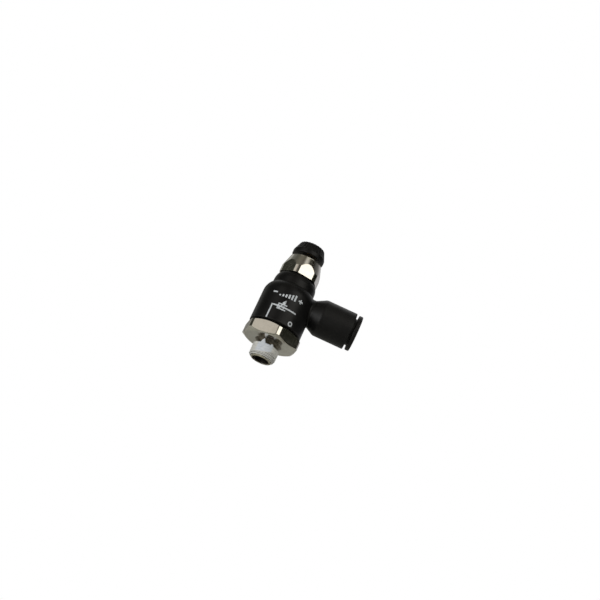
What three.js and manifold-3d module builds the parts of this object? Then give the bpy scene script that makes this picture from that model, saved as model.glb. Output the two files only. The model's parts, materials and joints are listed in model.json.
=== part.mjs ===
// A banjo flow control valve for compressed air.
// A taper-thread stud carries a swivel body with a push-in branch for 8 mm tube. Air that leaves the
// stud has to pass the needle, and air that enters it folds the lip seal away and passes freely.
// Millimetres. +Z runs up the stud's axis towards the knob and +X along the branch.
// The origin is on the stud's axis, on the underside of its hex.

import * as THREE from 'three';
import { mergeVertices } from 'three/addons/utils/BufferGeometryUtils.js';
import Module from 'manifold-3d';

const wasm = await Module();
wasm.setup();

// ---- Driving dimensions: radii are from the piece's own axis ----

const FACETS = 40; // round the large turned pieces
const FINE_FACETS = 30; // round the small ones
const RING_FACETS = 8; // round the cord of an O-ring
const OVERSHOOT = 2; // how far a cutting tool runs past the surface that it cuts

const STUD_END = -6.8;
const STUD_MOUTH = 3.7; // outer radius of the flat end face
const STUD_CHAMFER_TOP = -5.8;
const THREAD_SMALL = 4.5; // pitch radius of the 1/8 inch taper thread
const THREAD_LARGE = 4.69;
const THREAD_TOP = -1.8;
const THREAD_DEPTH = 0.29; // from the pitch line to the crests
const STUD_NECK = 4.6;
const NECK_ROOT = { radius: 5.1, height: 0.35 }; // where the neck flares into the face above it
const PORT_BORE = 3.05;

const HEX_FLATS = 19;
const HEX_BAR = 10.6; // radius of the bar that the hex is cut from
const HEX_TOP = 5.15;
const HEX_TURN = 39; // polar angle of one corner, in degrees
const HEX_UNDERSIDE = 9.1; // radius of the flat face inside the lower chamfer
const HEX_TOP_FACE = 8.56;
const HEX_CHAMFER = Math.PI / 6;

const COLLAR = 6.85;
const COLLAR_TOP = 9;
const LOWER_GROOVE = { radius: 5.65, bottom: 6.4, top: 8.2 };
const LOWER_O_RING = { inner: 5.68, outer: 7, height: 7.3 };
const STEM = 5.3;
const CHECK_GROOVE = { radius: 4.6, bottom: 11.6, top: 13.6 };
const UPPER_GROOVE = { radius: 4.35, bottom: 22.2, top: 23.8 };
const UPPER_O_RING = { inner: 4.4, outer: 5.42, height: 23 };
const CHECK_LIP = { clearance: 0.12, thickness: 0.38, drop: 0.55, root: 0.45, waist: 0.75 };
const STEM_SHOULDER = 26.25;
const STEM_THREAD = 4.9;
const STEM_TOP = 29;
const NEEDLE_BORE = 3.45;
const SEAT_LEDGE = 12.3;
const LOWER_HOLES = { radius: 1, height: 10.1 };
const UPPER_HOLES = { radius: 1.5, height: 16.9 };

const SEAT_ORIFICE = 1.7;
const SEAT_MOUTH = 2.3;
const SEAT_TOP = 14.3;
const SEAT_CHAMFER = 0.7;

const BODY = 9.65;
const BODY_BOTTOM = 5.4;
const BODY_TOP = 26.15;
const BODY_EDGE = 0.2;
const SHOULDER_START = 17.6;
const SHOULDER_END = 21.6;
const SHOULDER_REACH = 0.75; // how much of a quarter turn the shoulder's curve makes
const BODY_NECK = 7.9;
const BODY_LIP = 6.7;
const CHAMBER = 7.4;
const CHAMBER_TOP = 19.8;
const LOWER_BORE = 7.05;
const UPPER_BORE = 5.5;

const BRANCH_HEIGHT = 16.9;
const BRANCH_NECK = 4.95;
const BRANCH_NECK_END = 9.3;
const BRANCH_CONE_END = 12.9;
const BRANCH = 6.88;
const BRANCH_END = 24.6;
const BRANCH_EDGE = 0.25;
const BRANCH_PORT = 3.1;
const TUBE_STOP = 10.1;
const TUBE_SOCKET = 4.1;
const CASSETTE_START = 13.3;
const CASSETTE_BORE = 5.9;
const CASSETTE = 5.78;

const TUBE_SEAL = { lip: 3.85, heel: 4.35, cup: 4.9, start: 13.5, cupEnd: 15, end: 16.3 };
const SPACER = { bore: 4.3, start: 16.45, end: 17.1 };
const CHUCK = { tip: 3.85, edge: 0.15, tipStart: 17.45, rimBore: 5.45, rimStart: 18.5, rimEnd: 18.95 };
const CHUCK_TEETH = 12;
const CHUCK_SLIT = { width: 0.45, reach: 5.1 };
const COLLET = { bore: 5.4, start: 19.1, end: 21 };
const GUIDE = { start: 21.15, end: 24.3, chamfer: 0.2 };

const BONNET = 7.4;
const BONNET_FLATS = 13.7;
const BONNET_TURN = -75.2; // polar angle of the normal of one flat, in degrees
const BONNET_BOTTOM = 26.35;
const BONNET_CONE_START = 29.2;
const BONNET_TOP = 33.96;
const BONNET_TOP_RADIUS = 6;
const BONNET_CEILING = 29.4;
const NEEDLE_THREAD = 3;
const RUNNING_GAP = 0.1;

const NEEDLE_TIP = 10.4;
const NEEDLE_TIP_RADIUS = 0.45;
const NEEDLE_SHANK = 2.1;
const NEEDLE_LAND = { radius: 3.3, bottom: 20.4, top: 24.75 };
const NEEDLE_GROOVE = { radius: 2.25, bottom: 21.8, top: 23.2 };
const NEEDLE_O_RING = { inner: 2.32, outer: 3.38, height: 22.5 };
const NEEDLE_THREAD_TOP = 35;
const NEEDLE_STUB = 2;
const NEEDLE_TOP = 38.3;

const KNOB_BOTTOM = 35.35;
const KNOB_TOP = 40.25;
const KNOB = 6.03;
const KNOB_TOP_RADIUS = 4.78;
const KNOB_STRAIGHT_TOP = 36.85;
const KNOB_EDGE = 0.25;
const SLOT = { length: 6.4, width: 1, depth: 1 };

const BUTTON_FACE = 26.98;
const BUTTON_FLANGE = 6.62;
const BUTTON_FLANGE_START = 25.5;
const BUTTON_NECK = 5.05;
const BUTTON_NOSE = { radius: 4.7, start: 19.1 };
const BUTTON_BEAD = { radius: 5.28, start: 20.1, end: 20.8 };
const BUTTON_EDGE = 0.25;

// ---- Tools ----

// A closed profile of [radius, height] points, counter-clockwise, turned round the Z axis.
function turned(profile, facets = FACETS) {
  const points = profile.map(([radius, height]) => new THREE.Vector2(radius, height));
  return new THREE.LatheGeometry(points, facets).rotateX(Math.PI / 2);
}

// The same for a ring, whose profile doesn't touch the axis.
function turnedRing(profile, facets = FACETS) {
  return turned([...profile, profile[0]], facets);
}

function solid(geometry) {
  const bare = geometry.clone();
  bare.deleteAttribute('normal');
  bare.deleteAttribute('uv');
  const merged = mergeVertices(bare);
  const corners = merged.index.array;
  const triVerts = [];
  for (let i = 0; i < corners.length; i += 3) {
    const [a, b, c] = corners.slice(i, i + 3);
    // a profile that meets the axis leaves triangles with no area there
    if (a !== b && b !== c && c !== a) triVerts.push(a, b, c);
  }
  return new wasm.Manifold(new wasm.Mesh({
    numProp: 3,
    vertProperties: new Float32Array(merged.attributes.position.array),
    triVerts: new Uint32Array(triVerts),
  }));
}

function geometryOf(manifold) {
  const mesh = manifold.getMesh();
  const geometry = new THREE.BufferGeometry();
  geometry.setAttribute('position', new THREE.BufferAttribute(mesh.vertProperties, 3));
  geometry.setIndex(new THREE.BufferAttribute(mesh.triVerts, 1));
  return geometry;
}

// An upright prism with six sides. turn is the polar angle of one of its corners, in degrees.
function hexPrism(acrossFlats, bottom, top, turn) {
  const cornerRadius = acrossFlats / Math.sqrt(3);
  const prism = new THREE.CylinderGeometry(cornerRadius, cornerRadius, top - bottom, 6);
  // a cylinder's first corner is at polar angle -90 degrees once its axis is upright
  prism.rotateX(Math.PI / 2);
  prism.rotateZ(THREE.MathUtils.degToRad(turn + 90));
  return solid(prism.translate(0, 0, (bottom + top) / 2));
}

// Four holes square to the stem at one height, drilled right across it as two.
function crossHoles({ radius, height }) {
  const length = 2 * (STEM + OVERSHOOT);
  const alongY = new THREE.CylinderGeometry(radius, radius, length, 12).translate(0, 0, height);
  const alongX = new THREE.CylinderGeometry(radius, radius, length, 12).rotateZ(Math.PI / 2);
  return solid(alongY).add(solid(alongX.translate(0, 0, height)));
}

function oRing({ inner, outer, height }) {
  const middle = (inner + outer) / 2;
  const cordRadius = (outer - inner) / 2;
  return new THREE.TorusGeometry(middle, cordRadius, RING_FACETS, FINE_FACETS).translate(0, 0, height);
}

// ---- Finishes ----

const finishes = {
  nickel: { color: 0xb9b3a8, roughness: 0.28, metalness: 1 },
  sealant: { color: 0xb9c0c8, roughness: 0.8, metalness: 0 },
  polymer: { color: 0x1b1b1d, roughness: 0.5, metalness: 0 },
  rubber: { color: 0x121212, roughness: 0.85, metalness: 0 },
  brass: { color: 0xb49a5c, roughness: 0.35, metalness: 1 },
  stainless: { color: 0xc6c8ca, roughness: 0.3, metalness: 1 },
  acetal: { color: 0xe3dfd3, roughness: 0.5, metalness: 0 },
};

function piece(name, geometry, finish) {
  const mesh = new THREE.Mesh(geometry, new THREE.MeshStandardMaterial(finishes[finish]));
  mesh.name = name;
  return mesh;
}

// ---- Stud and what sits on it ----

// The bored stem, from the thread at its foot to the bonnet's thread at its head.
function stemBlank() {
  return solid(turnedRing([
    [PORT_BORE, STUD_END],
    [STUD_MOUTH, STUD_END],
    [THREAD_SMALL, STUD_CHAMFER_TOP],
    [THREAD_LARGE, THREAD_TOP],
    [STUD_NECK, THREAD_TOP + RUNNING_GAP],
    [STUD_NECK, -NECK_ROOT.height],
    [NECK_ROOT.radius, 0],
    [NECK_ROOT.radius, HEX_TOP / 2],
    [COLLAR, HEX_TOP / 2],
    [COLLAR, LOWER_GROOVE.bottom],
    [LOWER_GROOVE.radius, LOWER_GROOVE.bottom],
    [LOWER_GROOVE.radius, LOWER_GROOVE.top],
    [COLLAR, LOWER_GROOVE.top],
    [COLLAR, COLLAR_TOP],
    [STEM, COLLAR_TOP],
    [STEM, CHECK_GROOVE.bottom],
    [CHECK_GROOVE.radius, CHECK_GROOVE.bottom],
    [CHECK_GROOVE.radius, CHECK_GROOVE.top],
    [STEM, CHECK_GROOVE.top],
    [STEM, UPPER_GROOVE.bottom],
    [UPPER_GROOVE.radius, UPPER_GROOVE.bottom],
    [UPPER_GROOVE.radius, UPPER_GROOVE.top],
    [STEM, UPPER_GROOVE.top],
    [STEM, STEM_SHOULDER],
    [STEM_THREAD, STEM_SHOULDER],
    [STEM_THREAD, STEM_TOP],
    [NEEDLE_BORE, STEM_TOP],
    [NEEDLE_BORE, SEAT_LEDGE],
    [PORT_BORE, SEAT_LEDGE],
  ]));
}

// The spanner hex: a disc with coned rims, trimmed to six flats, with room for the bore.
function studHex() {
  const bore = PORT_BORE + OVERSHOOT / 2;
  const slope = Math.tan(HEX_CHAMFER);
  const disc = solid(turnedRing([
    [bore, 0],
    [HEX_UNDERSIDE, 0],
    [HEX_BAR, (HEX_BAR - HEX_UNDERSIDE) * slope],
    [HEX_BAR, HEX_TOP - (HEX_BAR - HEX_TOP_FACE) * slope],
    [HEX_TOP_FACE, HEX_TOP],
    [bore, HEX_TOP],
  ]));
  return disc.intersect(hexPrism(HEX_FLATS, -OVERSHOOT, HEX_TOP + OVERSHOOT, HEX_TURN));
}

function stud() {
  return geometryOf(
    stemBlank()
      .add(studHex())
      .subtract(crossHoles(LOWER_HOLES))
      .subtract(crossHoles(UPPER_HOLES)),
  );
}

// The band of sealant that fills the taper thread out to its crests.
function threadSealant() {
  const skin = RUNNING_GAP / 2;
  return turnedRing([
    [THREAD_SMALL + skin, STUD_CHAMFER_TOP],
    [THREAD_SMALL + THREAD_DEPTH, STUD_CHAMFER_TOP],
    [THREAD_LARGE + THREAD_DEPTH, THREAD_TOP],
    [THREAD_LARGE + skin, THREAD_TOP],
  ]);
}

// The lip seal that acts as the check valve. Its lip points down, against the metered flow.
function checkSeal() {
  const root = CHECK_GROOVE.radius + RUNNING_GAP;
  const bottom = CHECK_GROOVE.bottom + RUNNING_GAP;
  const top = CHECK_GROOVE.top - RUNNING_GAP;
  const lip = CHAMBER - CHECK_LIP.clearance;
  const waist = STEM + CHECK_LIP.root;
  return turnedRing([
    [root, bottom],
    [STEM + CHECK_LIP.root / 3, bottom],
    [waist, bottom + CHECK_LIP.waist],
    [lip - CHECK_LIP.thickness, bottom - CHECK_LIP.drop],
    [lip, bottom - CHECK_LIP.drop],
    [waist + 2 * CHECK_LIP.thickness, top - CHECK_LIP.thickness],
    [waist + CHECK_LIP.thickness, top],
    [root, top],
  ]);
}

// The pressed-in ring whose orifice the needle closes.
function seatRing() {
  const outer = NEEDLE_BORE - RUNNING_GAP;
  const bottom = SEAT_LEDGE + RUNNING_GAP;
  return turnedRing([
    [SEAT_ORIFICE, bottom],
    [outer, bottom],
    [outer, SEAT_TOP],
    [SEAT_MOUTH, SEAT_TOP],
    [SEAT_ORIFICE, SEAT_TOP - SEAT_CHAMFER],
  ], FINE_FACETS);
}

// The needle guide that closes the stem and holds the body down: round, coned, with six flats.
function bonnet() {
  const shell = solid(turnedRing([
    [STEM_THREAD + RUNNING_GAP, BONNET_BOTTOM],
    [BONNET - BODY_EDGE, BONNET_BOTTOM],
    [BONNET, BONNET_BOTTOM + BODY_EDGE],
    [BONNET, BONNET_CONE_START],
    [BONNET_TOP_RADIUS, BONNET_TOP - BODY_EDGE],
    [BONNET_TOP_RADIUS - BODY_EDGE, BONNET_TOP],
    [NEEDLE_THREAD + RUNNING_GAP, BONNET_TOP],
    [NEEDLE_THREAD + RUNNING_GAP, BONNET_CEILING],
    [STEM_THREAD + RUNNING_GAP, BONNET_CEILING],
  ]));
  const flats = hexPrism(BONNET_FLATS, BONNET_BOTTOM - 1, BONNET_TOP + 1, BONNET_TURN + 30);
  return geometryOf(shell.intersect(flats));
}

// ---- Needle and knob ----

function needle() {
  return turned([
    [0, NEEDLE_TIP],
    [NEEDLE_TIP_RADIUS, NEEDLE_TIP],
    [SEAT_ORIFICE - 1.5 * RUNNING_GAP, SEAT_TOP - SEAT_CHAMFER],
    [NEEDLE_SHANK, SEAT_TOP],
    [NEEDLE_SHANK, NEEDLE_LAND.bottom - 1],
    [NEEDLE_LAND.radius, NEEDLE_LAND.bottom],
    [NEEDLE_LAND.radius, NEEDLE_GROOVE.bottom],
    [NEEDLE_GROOVE.radius, NEEDLE_GROOVE.bottom],
    [NEEDLE_GROOVE.radius, NEEDLE_GROOVE.top],
    [NEEDLE_LAND.radius, NEEDLE_GROOVE.top],
    [NEEDLE_LAND.radius, NEEDLE_LAND.top],
    [NEEDLE_THREAD, NEEDLE_LAND.top],
    [NEEDLE_THREAD, NEEDLE_THREAD_TOP],
    [NEEDLE_STUB, NEEDLE_THREAD_TOP],
    [NEEDLE_STUB, NEEDLE_TOP],
    [0, NEEDLE_TOP],
  ], FINE_FACETS);
}

function knob() {
  const cap = solid(turned([
    [0, NEEDLE_TOP + RUNNING_GAP],
    [NEEDLE_STUB + RUNNING_GAP, NEEDLE_TOP + RUNNING_GAP],
    [NEEDLE_STUB + RUNNING_GAP, KNOB_BOTTOM],
    [KNOB - KNOB_EDGE, KNOB_BOTTOM],
    [KNOB, KNOB_BOTTOM + KNOB_EDGE],
    [KNOB, KNOB_STRAIGHT_TOP],
    [KNOB_TOP_RADIUS, KNOB_TOP - KNOB_EDGE],
    [KNOB_TOP_RADIUS - KNOB_EDGE, KNOB_TOP],
    [0, KNOB_TOP],
  ]));
  const slotTool = new THREE.BoxGeometry(SLOT.length, SLOT.width, 2 * SLOT.depth);
  return geometryOf(cap.subtract(solid(slotTool.translate(0, 0, KNOB_TOP))));
}

// ---- Swivel body ----

// The rounded shoulder between the barrel and the neck is a stretch of an ellipse.
function shoulder(steps) {
  const points = [];
  for (let i = 1; i <= steps; i += 1) {
    const share = i / steps;
    const drop = 1 - Math.sqrt(1 - (share * SHOULDER_REACH) ** 2);
    const full = 1 - Math.sqrt(1 - SHOULDER_REACH ** 2);
    points.push([
      BODY - (BODY - BODY_NECK) * (drop / full),
      SHOULDER_START + (SHOULDER_END - SHOULDER_START) * share,
    ]);
  }
  return points;
}

// The barrel and neck, before boring.
function barrel() {
  return solid(turned([
    [0, BODY_BOTTOM],
    [BODY - BODY_EDGE, BODY_BOTTOM],
    [BODY, BODY_BOTTOM + BODY_EDGE],
    [BODY, SHOULDER_START],
    ...shoulder(5),
    [BODY_NECK - 0.1, BODY_TOP - 2.4],
    [BODY_NECK - 0.35, BODY_TOP - 1.2],
    [BODY_NECK - 0.75, BODY_TOP - 0.4],
    [BODY_LIP, BODY_TOP],
    [0, BODY_TOP],
  ]));
}

// Turns an upright piece to lie along +X at the height of the branch.
function alongBranch(geometry) {
  return geometry.rotateY(Math.PI / 2).translate(0, 0, BRANCH_HEIGHT);
}

function branch() {
  return solid(alongBranch(turned([
    [0, 0],
    [BRANCH_NECK, 0],
    [BRANCH_NECK, BRANCH_NECK_END],
    [BRANCH, BRANCH_CONE_END],
    [BRANCH, BRANCH_END - BRANCH_EDGE],
    [BRANCH - BRANCH_EDGE, BRANCH_END],
    [0, BRANCH_END],
  ])));
}

// The space for the stem, with the chamber round its cross holes.
function stemSpace() {
  return solid(turned([
    [0, BODY_BOTTOM - OVERSHOOT],
    [LOWER_BORE, BODY_BOTTOM - OVERSHOOT],
    [LOWER_BORE, COLLAR_TOP],
    [CHAMBER, COLLAR_TOP + 0.4],
    [CHAMBER, CHAMBER_TOP],
    [UPPER_BORE, CHAMBER_TOP + 1],
    [UPPER_BORE, BODY_TOP + OVERSHOOT],
    [0, BODY_TOP + OVERSHOOT],
  ]));
}

// The air port, the tube's socket and the bore for the push-in pieces.
function branchSpace() {
  const start = BRANCH_NECK;
  return solid(alongBranch(turned([
    [0, start],
    [BRANCH_PORT, start],
    [BRANCH_PORT, TUBE_STOP],
    [TUBE_SOCKET, TUBE_STOP],
    [TUBE_SOCKET, CASSETTE_START],
    [CASSETTE_BORE, CASSETTE_START],
    [CASSETTE_BORE, BRANCH_END + OVERSHOOT],
    [0, BRANCH_END + OVERSHOOT],
  ])));
}

function body() {
  return geometryOf(barrel().add(branch()).subtract(stemSpace()).subtract(branchSpace()));
}

// ---- Push-in pieces, from the tube's stop outwards: profiles run along the branch ----

function tubeSeal() {
  const { lip, heel, cup, start, cupEnd, end } = TUBE_SEAL;
  const cupHalfWidth = 0.15;
  const lipWidth = 0.4;
  return turnedRing([
    [lip, start + 0.1],
    [lip + lipWidth, start],
    [cup - cupHalfWidth, cupEnd],
    [cup + cupHalfWidth, cupEnd],
    [CASSETTE - lipWidth, start],
    [CASSETTE, start],
    [CASSETTE, end],
    [heel, end],
    [heel - 0.15, cupEnd + 0.3],
  ], FINE_FACETS);
}

function sealSpacer() {
  return turnedRing([
    [SPACER.bore, SPACER.start],
    [CASSETTE, SPACER.start],
    [CASSETTE, SPACER.end],
    [SPACER.bore, SPACER.end],
  ], FINE_FACETS);
}

// The spring steel ring that bites the tube. Its teeth lean inwards and point away from the mouth.
function chuck() {
  let ring = solid(turnedRing([
    [CHUCK.tip, CHUCK.tipStart],
    [CHUCK.tip + CHUCK.edge, CHUCK.tipStart - CHUCK.edge],
    [CASSETTE, CHUCK.rimStart],
    [CASSETTE, CHUCK.rimEnd],
    [CHUCK.rimBore, CHUCK.rimEnd],
  ], FINE_FACETS));
  for (let i = 0; i < CHUCK_TEETH / 2; i += 1) {
    const slit = new THREE.BoxGeometry(2 * CHUCK_SLIT.reach, CHUCK_SLIT.width, 2 * OVERSHOOT);
    slit.translate(0, 0, CHUCK.tipStart).rotateZ((i * 2 * Math.PI) / CHUCK_TEETH);
    ring = ring.subtract(solid(slit));
  }
  return geometryOf(ring);
}

function collet() {
  return turnedRing([
    [COLLET.bore, COLLET.start],
    [CASSETTE, COLLET.start],
    [CASSETTE, COLLET.end],
    [COLLET.bore, COLLET.end],
  ], FINE_FACETS);
}

function guideRing() {
  const inner = BUTTON_NECK + 0.12;
  return turnedRing([
    [inner, GUIDE.start],
    [CASSETTE - GUIDE.chamfer, GUIDE.start],
    [CASSETTE, GUIDE.start + GUIDE.chamfer],
    [CASSETTE, GUIDE.end],
    [inner + GUIDE.chamfer, GUIDE.end],
    [inner, GUIDE.end - GUIDE.chamfer],
  ], FINE_FACETS);
}

function releaseButton() {
  return turnedRing([
    [TUBE_SOCKET, BUTTON_NOSE.start],
    [BUTTON_NOSE.radius, BUTTON_NOSE.start],
    [BUTTON_NOSE.radius, BUTTON_BEAD.start - 0.2],
    [BUTTON_BEAD.radius, BUTTON_BEAD.start],
    [BUTTON_BEAD.radius, BUTTON_BEAD.end],
    [BUTTON_NECK, BUTTON_BEAD.end + 0.2],
    [BUTTON_NECK, BUTTON_FLANGE_START],
    [BUTTON_FLANGE - BUTTON_EDGE, BUTTON_FLANGE_START],
    [BUTTON_FLANGE, BUTTON_FLANGE_START + BUTTON_EDGE],
    [BUTTON_FLANGE, BUTTON_FACE - BUTTON_EDGE],
    [BUTTON_FLANGE - BUTTON_EDGE, BUTTON_FACE],
    [TUBE_SOCKET + 2 * BUTTON_EDGE, BUTTON_FACE],
    [TUBE_SOCKET, BUTTON_FACE - 2 * BUTTON_EDGE],
  ]);
}

// ---- The valve ----

const valve = new THREE.Group();
valve.add(
  piece('stud', stud(), 'nickel'),
  piece('thread_sealant', threadSealant(), 'sealant'),
  piece('stem_lower_o_ring', oRing(LOWER_O_RING), 'rubber'),
  piece('check_seal', checkSeal(), 'rubber'),
  piece('seat_ring', seatRing(), 'brass'),
  piece('stem_upper_o_ring', oRing(UPPER_O_RING), 'rubber'),
  piece('bonnet', bonnet(), 'nickel'),
  piece('needle', needle(), 'brass'),
  piece('needle_o_ring', oRing(NEEDLE_O_RING), 'rubber'),
  piece('knob', knob(), 'polymer'),
  piece('body', body(), 'polymer'),
);

const pushIn = new THREE.Group();
pushIn.position.z = BRANCH_HEIGHT;
pushIn.rotation.y = Math.PI / 2;
pushIn.add(
  piece('tube_seal', tubeSeal(), 'rubber'),
  piece('seal_spacer', sealSpacer(), 'acetal'),
  piece('chuck', chuck(), 'stainless'),
  piece('collet', collet(), 'acetal'),
  piece('guide_ring', guideRing(), 'nickel'),
  piece('release_button', releaseButton(), 'polymer'),
);
valve.add(pushIn);

export default valve;
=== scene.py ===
import json
import math

import bmesh
import bpy
import numpy as np
from mathutils import Matrix, Vector

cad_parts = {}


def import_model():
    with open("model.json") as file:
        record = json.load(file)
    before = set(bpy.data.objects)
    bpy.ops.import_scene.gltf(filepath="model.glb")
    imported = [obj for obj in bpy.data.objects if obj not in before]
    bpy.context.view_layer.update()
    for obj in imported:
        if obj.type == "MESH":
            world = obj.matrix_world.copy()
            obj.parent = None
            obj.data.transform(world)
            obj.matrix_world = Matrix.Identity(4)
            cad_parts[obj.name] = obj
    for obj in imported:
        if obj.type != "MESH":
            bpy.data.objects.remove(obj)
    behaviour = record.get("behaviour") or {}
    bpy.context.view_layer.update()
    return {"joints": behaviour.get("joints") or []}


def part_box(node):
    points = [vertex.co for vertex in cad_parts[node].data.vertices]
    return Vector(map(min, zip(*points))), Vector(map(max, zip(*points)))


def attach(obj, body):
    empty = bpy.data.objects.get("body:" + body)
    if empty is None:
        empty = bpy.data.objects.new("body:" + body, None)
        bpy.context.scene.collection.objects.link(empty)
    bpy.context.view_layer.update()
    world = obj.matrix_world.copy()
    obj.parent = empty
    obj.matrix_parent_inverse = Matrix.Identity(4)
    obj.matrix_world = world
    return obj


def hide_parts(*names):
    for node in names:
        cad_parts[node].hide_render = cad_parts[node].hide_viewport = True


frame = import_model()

# Profiles below are in millimetres from each piece's own axis, and MM takes them to metres.
MM = 0.001
# In metres: points closer than WELD are one point, and an edge shorter than SPECK has no length.
WELD = 2e-7
SPECK = 1e-8


def span(node, axis):
    """The lowest and highest coordinate of a CAD node along an axis, in millimetres."""
    low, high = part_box(node)
    return low[axis] / MM, high[axis] / MM


# ---- Where things are, from the frame ----

JOINTS = {joint["name"]: joint for joint in frame["joints"]}
BRANCH_HEIGHT = JOINTS["body_swivel"]["pos_m"][2] / MM
STUD_END, STEM_TOP = span("stud", 2)
THREAD_START, THREAD_TOP = span("thread_sealant", 2)
BODY_BOTTOM, BODY_TOP = span("body", 2)
BODY = -span("body", 0)[0]
BRANCH_END = span("body", 0)[1]
BONNET_BOTTOM, BONNET_TOP = span("bonnet", 2)
KNOB_BOTTOM, KNOB_TOP = span("knob", 2)
KNOB = span("knob", 0)[1]
NEEDLE_TIP, NEEDLE_TOP = span("needle", 2)
BUTTON_START, BUTTON_FACE = span("release_button", 0)
BUTTON = span("release_button", 1)[1]

# Sizes inside the nodes, in millimetres. The turns are polar angles in degrees.
HEX_FLATS, HEX_BAR, HEX_TURN, HEX_TOP = 19.0, 10.6, 39.0, 5.15
HEX_UNDERSIDE, HEX_TOP_FACE, HEX_CHAMFER = 9.1, 8.56, 30
COLLAR, COLLAR_TOP = 6.85, 9.0
STEM = 5.3
PIPE_RADIUS, PIPE_TAPER, PIPE_PITCH = 4.5, 32, 0.907
SHOULDER_START, SHOULDER_END, SHOULDER_REACH = 17.6, 21.6, 0.75
NECK = 7.9
BRANCH_NECK, BRANCH = 4.95, 6.88
CASSETTE = 5.78
BONNET, BONNET_CONE, BONNET_TOP_RADIUS = 7.4, 29.2, 6.0
BONNET_FLATS, BONNET_TURN = 13.7, -75.2
NEEDLE_PITCH = 0.75
KNOB_STRAIGHT_TOP, KNOB_TOP_RADIUS = 36.85, 4.7


# ---- Mesh tools ----

def link(name, mesh):
    obj = bpy.data.objects.new(name, mesh)
    bpy.context.scene.collection.objects.link(obj)
    return obj


def outline(corners):
    """Points along an outline. A corner is (radius, height), or (radius, height, fillet)."""
    points = []
    for i, corner in enumerate(corners):
        here = Vector(corner[:2])
        if len(corner) < 3:
            points.append(here)
            continue
        before = Vector(corners[i - 1][:2]) - here
        after = Vector(corners[(i + 1) % len(corners)][:2]) - here
        reach = corner[2] / math.tan(max(before.angle(after), 0.2) / 2)
        start = here + before.normalized() * min(reach, before.length * 0.49)
        end = here + after.normalized() * min(reach, after.length * 0.49)
        for step in range(6):
            t = step / 5
            points.append(start * (1 - t) ** 2 + here * (2 * t * (1 - t)) + end * t ** 2)
    return [(p.x, p.y) for p in points]


def skin(name, columns, angles, closed, finish=None):
    """A mesh from one profile per angle. finish(k, i) gives the material of each face by number."""
    grid = np.array(columns) * MM
    count, rows = grid.shape[:2]
    verts = np.stack([
        grid[:, :, 0] * np.cos(angles)[:, None],
        grid[:, :, 0] * np.sin(angles)[:, None],
        grid[:, :, 1],
    ], axis=2).reshape(-1, 3)
    faces, finishes = [], []
    for k in range(count):
        for i in range(rows if closed else rows - 1):
            a, b = k * rows, ((k + 1) % count) * rows
            j = (i + 1) % rows
            faces.append((a + i, b + i, b + j, a + j))
            finishes.append(int(finish(k, i)) if finish else 0)
    mesh = bpy.data.meshes.new(name)
    mesh.from_pydata(verts.tolist(), [], faces)
    mesh.polygons.foreach_set("material_index", finishes)
    return tidy(mesh)


def tidy(mesh):
    """Merges doubled points, drops faces without area and turns the normals outwards."""
    work = bmesh.new()
    work.from_mesh(mesh)
    bmesh.ops.remove_doubles(work, verts=work.verts, dist=WELD)
    bmesh.ops.dissolve_degenerate(work, edges=work.edges, dist=SPECK)
    bmesh.ops.recalc_face_normals(work, faces=work.faces)
    work.to_mesh(mesh)
    work.free()
    return mesh


def even(count):
    return np.arange(count) * 2 * math.pi / count


def turned(name, corners, count=96, ring=True):
    """A turned piece from one outline. ring says that the outline is closed clear of the axis."""
    profile = outline(corners)
    return skin(name, [profile] * count, even(count), ring)


def near_corners(sides, turn, per_side):
    """Angles that crowd towards a prism's corners. turn is one corner's polar angle in degrees."""
    share = np.arange(sides * per_side) / per_side
    eased = share - np.sin(2 * math.pi * share) * 0.8 / (2 * math.pi)
    return np.radians(turn) + eased * 2 * math.pi / sides


def lower_of(a, b, blend):
    """The lower of two numbers, rounded where they cross."""
    share = max(blend - abs(a - b), 0) / blend
    return min(a, b) - share ** 2 * blend / 4


def smoothstep(low, high, value):
    t = np.clip((value - low) / (high - low), 0, 1)
    return t * t * (3 - 2 * t)


def thread_wave(turns):
    """A rounded vee thread between -1 and 1, for a position counted in turns."""
    return math.asin(0.96 * math.cos(2 * math.pi * turns)) / math.asin(0.96)


def combined(obj, tool, operation):
    """obj with another solid added or cut away, and its points welded. The tool is used up."""
    step = obj.modifiers.new(operation, "BOOLEAN")
    step.operation = operation
    step.solver = "EXACT"
    step.object = tool
    apply_modifiers(obj)
    bpy.data.objects.remove(tool)
    work = bmesh.new()
    work.from_mesh(obj.data)
    bmesh.ops.remove_doubles(work, verts=work.verts, dist=WELD)
    bmesh.ops.dissolve_degenerate(work, edges=work.edges, dist=WELD)
    work.to_mesh(obj.data)
    work.free()


def apply_modifiers(obj):
    bpy.context.view_layer.update()
    graph = bpy.context.evaluated_depsgraph_get()
    made = bpy.data.meshes.new_from_object(obj.evaluated_get(graph))
    obj.modifiers.clear()
    obj.data = made


def along_branch():
    return Matrix.Translation((0, 0, BRANCH_HEIGHT * MM)) @ Matrix.Rotation(math.pi / 2, 4, "Y")


def place(name, mesh, body, node, slot, materials, lying=False, sharp=32):
    """Adds a finished piece that stands for a CAD node and moves with a body."""
    obj = mesh if isinstance(mesh, bpy.types.Object) else link(name, mesh)
    for material in materials[len(obj.data.materials):]:
        obj.data.materials.append(material)
    obj.data.shade_smooth()
    obj.data.set_sharp_from_angle(angle=math.radians(sharp))
    step = obj.modifiers.new("normals", "WEIGHTED_NORMAL")
    step.keep_sharp = True
    apply_modifiers(obj)
    if lying:
        obj.matrix_world = along_branch()
    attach(obj, body)
    if node:
        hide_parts(node)
    return obj


# ---- Materials ----

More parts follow.
